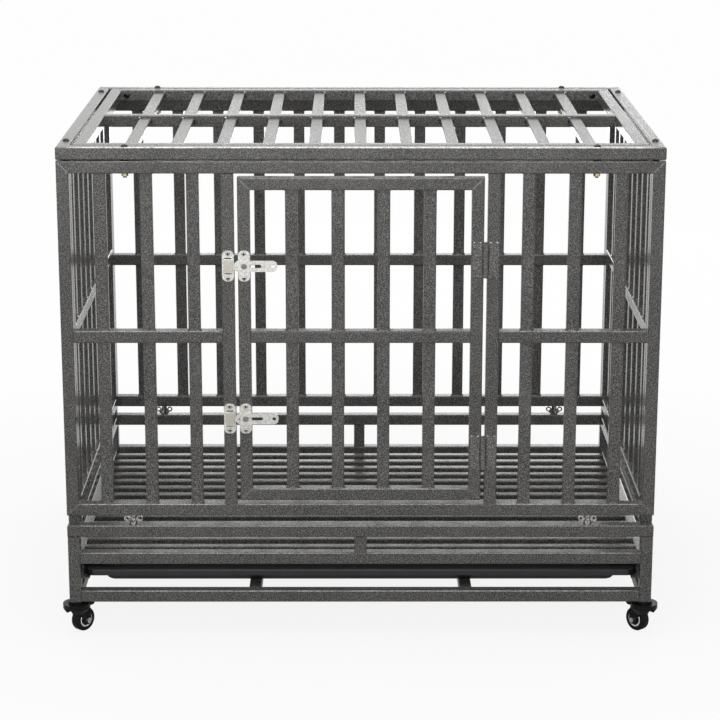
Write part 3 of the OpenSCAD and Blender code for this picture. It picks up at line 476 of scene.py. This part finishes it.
def trayProfile():
    t = trayShape
    foot = t["flange"] + t["taper"]
    floorTop = t["floorZ"] + t["wall"]
    filletX, filletZ = foot + t["fillet"], floorTop + t["fillet"]
    bendX, bendZ = t["flange"] - t["flangeRound"], t["flangeTop"] - t["flangeRound"]
    rollZ = t["flangeTop"] - t["roll"]
    ribs = [(t["floorInset"], floorTop)]
    ribs += [(at + x, floorTop + z * t["rib"]) for at in t["ribsAt"] for x, z in t["ribShape"]]
    ribs += [(filletX + t["support"], floorTop)]
    above = np.concatenate([ribs, arcPoints(filletX, filletZ, t["fillet"], -90.0, -172.0, 6),
                            arcPoints(bendX, bendZ, t["flangeRound"], 15.0, 90.0, 5),
                            arcPoints(t["roll"], rollZ, t["roll"], 90.0, 180.0, 8),
                            [(0.0, t["lipZ"] + 0.6), (0.6, t["lipZ"])]])
    below = np.concatenate([[(t["wall"], t["lipZ"])],
                            arcPoints(t["roll"], rollZ, t["roll"] - t["wall"], 180.0, 90.0, 5),
                            arcPoints(bendX, bendZ, t["flangeRound"] - t["wall"], 90.0, 15.0, 4),
                            arcPoints(filletX, filletZ, t["fillet"] + t["wall"], -172.0, -90.0, 6),
                            [(t["floorInset"], t["floorZ"])]])
    return np.concatenate([above, below])


def roundedLoop(halfX, halfY, corner, count):
    a = (np.arange(4)[:, None] * 90.0 + np.linspace(0.0, 90.0, count)[None, :]) * np.pi / 180.0
    signX = np.array([1.0, -1.0, -1.0, 1.0])[:, None]
    signY = np.array([1.0, 1.0, -1.0, -1.0])[:, None]
    x = signX[None] * (halfX - corner)[:, None, None] + corner[:, None, None] * np.cos(a)[None]
    y = signY[None] * (halfY - corner)[:, None, None] + corner[:, None, None] * np.sin(a)[None]
    return x.reshape(len(halfX), -1), y.reshape(len(halfX), -1)


profile = trayProfile()
inset = profile[:, 0]
corner = np.clip(trayShape["corner"] - trayShape["cornerLoss"] * inset, trayShape["cornerLeast"], None)
past = inset - trayShape["edgeInset"]
# narrower flange in front and behind
insetY = np.where(past > 0.0, trayShape["edgeInset"] + past * trayShape["frontShare"], inset)
loopX, loopY = roundedLoop(trayShape["halfX"] - inset, trayShape["halfY"] - insetY, corner, trayShape["arc"])
lipRows = ((profile[:, 1] < trayShape["lipBelow"]) & (inset < trayShape["lipInset"]))[:, None]
fromSide = np.clip((trayShape["halfX"] - abs(loopX)) / trayShape["liftRun"], 0.0, 1.0)
liftZ = trayShape["frontLift"] * fromSide * lipRows  # shorter lip in front and behind
trayPoints = np.stack([loopX, loopY, profile[:, 1:2] + liftZ], axis=-1)
mouldedTray = addPiece("mouldedTray", closedCopies(trayPoints[None]), trayPlastic, "tray", 40.0)
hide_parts("tray")
print("stage: tray,", trayPoints.shape[0], "by", trayPoints.shape[1])


# wheel rings: a rounded band carried round the wheel's axle in each hub dish; the point at (u, v) is the wheel's
# middle + (r + a cos v) on the circle at u + (dish + b sin v) along the axle
wheelRing = {"radius": 11.2, "half": 1.9, "rise": 0.9, "dish": 7.5, "trail": 14.0, "axleZ": 20.0, "around": 40,
             "section": 10,
             "corners": {"front_left": (-1, -1, 50.0), "front_right": (1, -1, 130.0),
                         "rear_left": (-1, 1, -50.0), "rear_right": (1, 1, -130.0)}}


def hubRings(signX, signY, turn):
    w = wheelRing
    a = math.radians(turn)
    trail, axle = np.array([math.cos(a), math.sin(a), 0.0]), np.array([-math.sin(a), math.cos(a), 0.0])
    middle = np.array([signX * (halfW - tube / 2), signY * (rearY - tube / 2), w["axleZ"]]) + w["trail"] * trail
    u = np.arange(w["around"])[:, None] / w["around"] * 2.0 * np.pi
    v = np.arange(w["section"])[None, :] / w["section"] * 2.0 * np.pi
    radius = w["radius"] + w["half"] * np.sign(np.cos(v)) * abs(np.cos(v)) ** 0.6
    rise = w["dish"] + w["rise"] * np.sign(np.sin(v)) * abs(np.sin(v)) ** 0.8
    flat = (radius * np.cos(u))[..., None] * trail + (radius * np.sin(u))[..., None] * np.array(zAxis)
    lift = (rise + 0.0 * u)[..., None] * axle
    return np.stack([middle + flat + lift, middle + flat - lift])


for cornerName, place in wheelRing["corners"].items():
    addPiece("hubRing_" + cornerName, closedCopies(hubRings(*place), ring=True), ringZinc, "roller_" + cornerName)
print("stage: wheel rings")


# latch strap skins: a flat band with rounded edges over each keeper's strap; the section is a rounded box, carried
# along the strap's width
strapSkin = {"halfWide": 6.7, "halfHigh": 11.0, "front": -341.55, "thick": 0.9, "ease": 0.16, "steps": 9, "around": 28}


def strapBands():
    s = strapSkin
    u = np.linspace(-1.0, 1.0, s["steps"])[:, None]
    v = np.arange(s["around"])[None, :] / s["around"] * 2.0 * np.pi
    ease = (1.0 - u ** 8) * s["ease"] + 1.0 - s["ease"]
    wide = s["halfWide"] * np.sign(u) * abs(u) ** 0.8 + 0.0 * v
    high = s["halfHigh"] * ease * np.sign(np.sin(v)) * abs(np.sin(v)) ** 0.25
    deep = s["thick"] / 2 * ease * np.sign(np.cos(v)) * abs(np.cos(v)) ** 0.35
    shape = np.stack([wide - crate["jambX"], deep + s["front"] + s["thick"] / 2, high], axis=-1)
    return np.stack([shape + np.array([0.0, 0.0, z]) for z in crate["latchZ"]])


addPiece("strapSkins", closedCopies(strapBands()), strapZinc, "frame")

# dark lenses, flat and round-ended: painted shade laid on the plates, in the lanced slots above and below each strap
# and in the gaps beside each hinge's barrel; the point at (u, v) is an ellipse of half(u) by thick carried from one end
# of the lens to the other
slotLens = {"reach": 6.4, "half": 1.15, "thick": 0.16, "off": 12.4, "steps": 9, "around": 10}
gapLens = {"reach": 26.5, "half": 0.75, "thick": 0.16, "off": 5.2, "steps": 9, "around": 10}


def shadeLenses(lens, places, upright):
    u = np.linspace(-1.0, 1.0, lens["steps"])[:, None]
    v = np.arange(lens["around"])[None, :] / lens["around"] * 2.0 * np.pi
    swell = np.sqrt(1.0 - 0.96 * u ** 4)
    run, wide = lens["reach"] * u + 0.0 * v, lens["half"] * swell * np.sin(v)
    deep = plateFront + lens["thick"] * swell * np.cos(v)
    shape = np.stack([wide, deep, run] if upright else [run, deep, wide], axis=-1)
    return np.stack([shape + np.array([x, 0.0, z]) for x, z in places])


slotPlaces = [(-crate["jambX"], z + sign * slotLens["off"]) for z in crate["latchZ"] for sign in (-1.0, 1.0)]
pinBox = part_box("hinge_pins")
pinX = (pinBox[0][0] + pinBox[1][0]) / 2 / mm
addPiece("strapSlotShade", closedCopies(shadeLenses(slotLens, slotPlaces, False)), boltBlackAndSlotShade, "frame")
for gapName, gapBody, gapSide in (("jambBarrelGapShade", "frame", 1.0), ("doorBarrelGapShade", "door", -1.0)):
    gapPlaces = [(pinX + gapSide * gapLens["off"], z) for z in crate["hingeZ"]]
    addPiece(gapName, closedCopies(shadeLenses(gapLens, gapPlaces, True)), paintedShadePaint, gapBody)


# bright edges: a painted highlight along the upper outer edge of a rail, a slim pale lens laid over the rounding; the
# point at (u, v) is first + u (second - first) + half cos v round the edge + height sin v out of it, both swelling a
# little
edge = {"round": 2.2, "half": 0.68, "height": 0.17, "sink": 0.05, "along": 25, "around": 6, "ripple": 0.12,
        "ripples": 67.0}
span = {"full": ((-478.0, 478.0),), "between": ((-458.0, 458.0),), "besideDoor": ((-458.0, -223.0), (223.0, 458.0)),
        "underDoor": ((-199.0, 199.0),), "besidePost": ((-458.0, -12.0), (12.0, 458.0)), "doorFull": ((-193.0, 193.0),),
        "doorInner": ((-174.0, 174.0),), "deepFull": ((-333.0, 333.0),), "deepInner": ((-294.0, 294.0),)}


def paintedHighlightEdges(rows):
    first, second, out = (np.asarray([r[i] for r in rows], float) for i in range(3))
    out = out / np.linalg.norm(out, axis=1)[:, None]
    way = second - first
    side = np.cross(way / np.linalg.norm(way, axis=1)[:, None], out)
    inset = edge["round"] * (math.sqrt(2.0) - 1.0) + edge["sink"]
    u = np.linspace(0.0, 1.0, edge["along"])[:, None]
    v = np.arange(edge["around"])[None, :] / edge["around"] * 2.0 * np.pi
    swell = (1.0 + edge["ripple"] * np.sin(u * edge["ripples"])) * (1.0 - 0.8 * (2.0 * u - 1.0) ** 24)
    parts = ((u + 0.0 * v, way), (edge["half"] * swell * np.cos(v), side),
             (edge["height"] * swell * np.sin(v) - inset, out))
    return first[:, None, None, :] + sum(s[None, :, :, None] * axis[:, None, None, :] for s, axis in parts)


def edgesAlongX(y, z, spans):
    return [((a, y, z), (b, y, z), (0.0, math.copysign(1.0, y), 1.0)) for a, b in spans]


def edgesAlongY(z, spans):
    return [((s * halfW, a, z), (s * halfW, b, z), (float(s), 0.0, 1.0)) for s in (-1, 1) for a, b in spans]


rimRows = (edgesAlongX(frontY, roofTop, span["full"]) + edgesAlongX(rearY, roofTop, span["full"])
           + edgesAlongY(roofTop, span["deepFull"]))
# painted highlights along the roof rim's upper edges
addPiece("rimPaintedHighlights", closedCopies(paintedHighlightEdges(rimRows)), paintedHighlightZinc, "frame")
edgeRows = (edgesAlongX(frontY, crate["wallTop"], span["full"])
            + edgesAlongX(frontY, openLow, span["besideDoor"] + span["underDoor"])
            + edgesAlongX(frontY, crate["midZ"] + tube, span["besideDoor"])
            + edgesAlongX(frontY, crate["baseZ"], span["full"])
            + edgesAlongX(frontY, crate["baseMidTop"], span["besidePost"])
            + edgesAlongX(frontY, crate["baseLowTop"], span["between"])
            + edgesAlongX(rearY, openLow, span["between"])
            + edgesAlongX(rearY, crate["backMidZ"] + tube, span["between"])
            + edgesAlongX(rearY, crate["baseZ"], span["full"])
            + edgesAlongY(crate["baseZ"], span["deepFull"])
            + edgesAlongY(crate["midZ"] + tube, span["deepInner"]) + edgesAlongY(openLow, span["deepInner"]))
# painted highlights along the other rails' upper edges, here and on the door below
addPiece("paintedHighlightEdges", closedCopies(paintedHighlightEdges(edgeRows)), paintedEdgeHighlight, "frame")
doorEdges = (edgesAlongX(frontY, crate["doorTop"], span["doorFull"])
             + edgesAlongX(frontY, crate["doorZ"] + tube, span["doorInner"]))
addPiece("doorPaintedHighlights", closedCopies(paintedHighlightEdges(doorEdges)), paintedEdgeHighlight, "door")
print("stage: bright edges,", len(rimRows) + len(edgeRows) + len(doorEdges))


# tacks: a small mound of weld at the ends of the hinge leaves and roof bars, a ball pressed flat, in pale metal as a
# painted highlight; the point at (u, v) is the tack's place + size times (sin u cos v, cos u, sin u sin v)
tack = {"wide": 1.9, "high": 1.2, "deep": 0.9, "rings": 5, "around": 8, "pole": 0.06,
        "proud": 0.4, "leafEnd": 27.6, "nearShare": 0.2, "farShare": 0.15, "jambX": 203.0, "doorX": 193.5,
        "roofSide": 9.6, "roofUp": 16.4, "roofProud": 1.0}


def weldTacks(places):
    u = np.linspace(tack["pole"], np.pi - tack["pole"], tack["rings"])[:, None]
    v = np.arange(tack["around"])[None, :] / tack["around"] * 2.0 * np.pi
    shape = np.stack([tack["wide"] * np.sin(u) * np.cos(v), tack["deep"] * np.cos(u) + 0.0 * v,
                      tack["high"] * np.sin(u) * np.sin(v)], axis=-1)
    return np.asarray(places, float)[:, None, None, :] + shape


def leafTacks(nearX, farX):
    wide = farX - nearX
    return [(x, frontY - tack["proud"], z + s * tack["leafEnd"]) for z in crate["hingeZ"] for s in (-1, 1)
            for x in (nearX + tack["nearShare"] * wide, farX - tack["farShare"] * wide)]


jambLeaf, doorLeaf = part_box("hinge_jamb_leaves"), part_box("hinge_door_leaves")
roofEnds = ((-tube / 2 - tack["roofProud"], -1.0), (roofInner - tack["roofProud"], 1.0))
roofTacks = [(x + sx * tack["roofSide"], y, crate["roofZ"] + tack["roofUp"]) for x in roofX[:11] for y, sx in roofEnds]
for tackName, tackPlaces, tackBody in (
        ("roofBarTacks", roofTacks, "frame"),
        ("jambLeafTacks", leafTacks(tack["jambX"], jambLeaf[1][0] / mm), "frame"),
        ("doorLeafTacks", leafTacks(tack["doorX"], doorLeaf[0][0] / mm), "door")):
    addPiece(tackName, closedCopies(weldTacks(tackPlaces)), paintedHighlightZinc, tackBody)
print("stage: straps and tacks")


# the photograph's camera: focal length and image side in pixels, turns in radians, place in millimetres
camera = {"focal": 2325.0, "image": 720.0, "sensor": 36.0, "clipEnd": 100.0,
          "pitch": 0.2582, "yaw": 0.0037, "roll": 0.0010, "place": (-14.5, -3944.2, 1422.5)}


def placeCamera():
    p, y, r = camera["pitch"], camera["yaw"], camera["roll"]
    forward = Vector((math.sin(y) * math.cos(p), math.cos(y) * math.cos(p), -math.sin(p)))
    right = Vector((math.cos(y), -math.sin(y), 0.0))
    up = right.cross(forward)
    turnedRight = right * math.cos(r) + up * math.sin(r)
    turnedUp = up * math.cos(r) - right * math.sin(r)
    data = bpy.data.cameras.new("photoCamera")
    data.sensor_fit = "HORIZONTAL"
    data.sensor_width = camera["sensor"]
    data.lens = camera["focal"] / camera["image"] * camera["sensor"]
    data.clip_end = camera["clipEnd"]
    eye = bpy.data.objects.new("photoCamera", data)
    bpy.context.scene.collection.objects.link(eye)
    axes = Matrix((turnedRight, turnedUp, -forward)).transposed().to_4x4()
    eye.matrix_world = Matrix.Translation(Vector(camera["place"]) * mm) @ axes
    bpy.context.scene.camera = eye


# lamps: name, place, aim, width, height and power; near the crate the floor is whiter to the camera than in reflections
studio = {"worldLight": 0.16, "floorColour": 0.9, "floorHalf": 30.0, "floorRough": 0.9, "bounceColour": 0.10,
          "nearGlow": 0.88, "nearShine": 0.25, "farGlow": 0.985, "nearRange": (0.6, 1.5),
          "lamps": (("frontTop", (-0.30, -1.3, 2.3), (0.0, -0.3, 0.8), 2.6, 1.0, 14.0),
                    ("overhead", (0.0, 0.2, 3.0), (0.0, 0.1, 0.8), 2.6, 1.6, 42.0),
                    ("front", (-0.4, -3.2, 1.2), (0.0, 0.0, 2.4), 2.4, 1.4, 39.0),
                    ("rear", (0.3, 3.2, 0.6), (0.0, 0.0, 0.9), 2.0, 0.8, 13.0),
                    ("leftSide", (-3.4, 0.3, 1.2), (0.0, 0.0, 0.9), 1.6, 1.2, 7.0),
                    ("rightSide", (3.4, 0.3, 1.2), (0.0, 0.0, 0.9), 1.6, 1.2, 7.0))}


def seenRay(tree):
    path = addNode(tree, "ShaderNodeLightPath")
    shiny = mathOn(tree, "MAXIMUM", path.outputs["Is Glossy Ray"], path.outputs["Is Transmission Ray"])
    return mathOn(tree, "MAXIMUM", path.outputs["Is Camera Ray"], shiny)


def mixOn(tree, factor, first, second):
    mix = addNode(tree, "ShaderNodeMixShader")
    for value, socket in zip((factor, first, second), mix.inputs):
        tree.links.new(value, socket)
    return mix.outputs[0]


def lightStage():
    scene = bpy.context.scene
    scene.view_settings.view_transform = "Standard"
    world = bpy.data.worlds.new("studioWorld")
    scene.world = world
    world.use_nodes = True
    tree = world.node_tree
    background = tree.nodes["Background"]
    background.inputs["Color"].default_value = (1.0, 1.0, 1.0, 1.0)
    tree.links.new(rangeOn(tree, seenRay(tree), studio["worldLight"], 1.0, 0.0, 1.0), background.inputs["Strength"])

    floorMesh = bpy.data.meshes.new("floor")
    side = studio["floorHalf"]
    corners = [(-side, -side, 0), (side, -side, 0), (side, side, 0), (-side, side, 0)]
    floorMesh.from_pydata(corners, [], [(0, 1, 2, 3)])
    floor = bpy.data.objects.new("floor", floorMesh)
    scene.collection.objects.link(floor)
    material, tree, shader = newMaterial("paleFloor")
    shader.inputs["Base Color"].default_value = (*[studio["floorColour"]] * 3, 1.0)
    shader.inputs["Roughness"].default_value = studio["floorRough"]
    shader.inputs["Specular IOR Level"].default_value = 0.0
    bounce = addNode(tree, "ShaderNodeBsdfDiffuse", {"Color": (*[studio["bounceColour"]] * 3, 1.0)})
    glow = addNode(tree, "ShaderNodeEmission")
    away = addNode(tree, "ShaderNodeVectorMath", operation="LENGTH")
    tree.links.new(objectPoint(tree), away.inputs[0])
    path = addNode(tree, "ShaderNodeLightPath")
    near = rangeOn(tree, path.outputs["Is Camera Ray"], studio["nearShine"], studio["nearGlow"], 0.0, 1.0)
    fit = addNode(tree, "ShaderNodeMapRange", {"From Min": studio["nearRange"][0], "From Max": studio["nearRange"][1],
                                               "To Max": studio["farGlow"]})
    tree.links.new(away.outputs["Value"], fit.inputs["Value"])
    tree.links.new(near, fit.inputs["To Min"])
    white = mixOn(tree, fit.outputs["Result"], shader.outputs[0], glow.outputs[0])
    surface = mixOn(tree, seenRay(tree), bounce.outputs[0], white)
    tree.links.new(surface, tree.nodes["Material Output"].inputs["Surface"])
    floorMesh.materials.append(material)
    for name, place, aim, wide, high, power in studio["lamps"]:
        data = bpy.data.lights.new(name, "AREA")
        data.shape = "RECTANGLE"
        data.size, data.size_y = wide, high
        data.energy = power
        lamp = bpy.data.objects.new(name, data)
        scene.collection.objects.link(lamp)
        lamp.location = place
        lamp.rotation_euler = (Vector(aim) - Vector(place)).to_track_quat("-Z", "Y").to_euler()


placeCamera()
lightStage()
print("stage: camera, floor and lamps set")
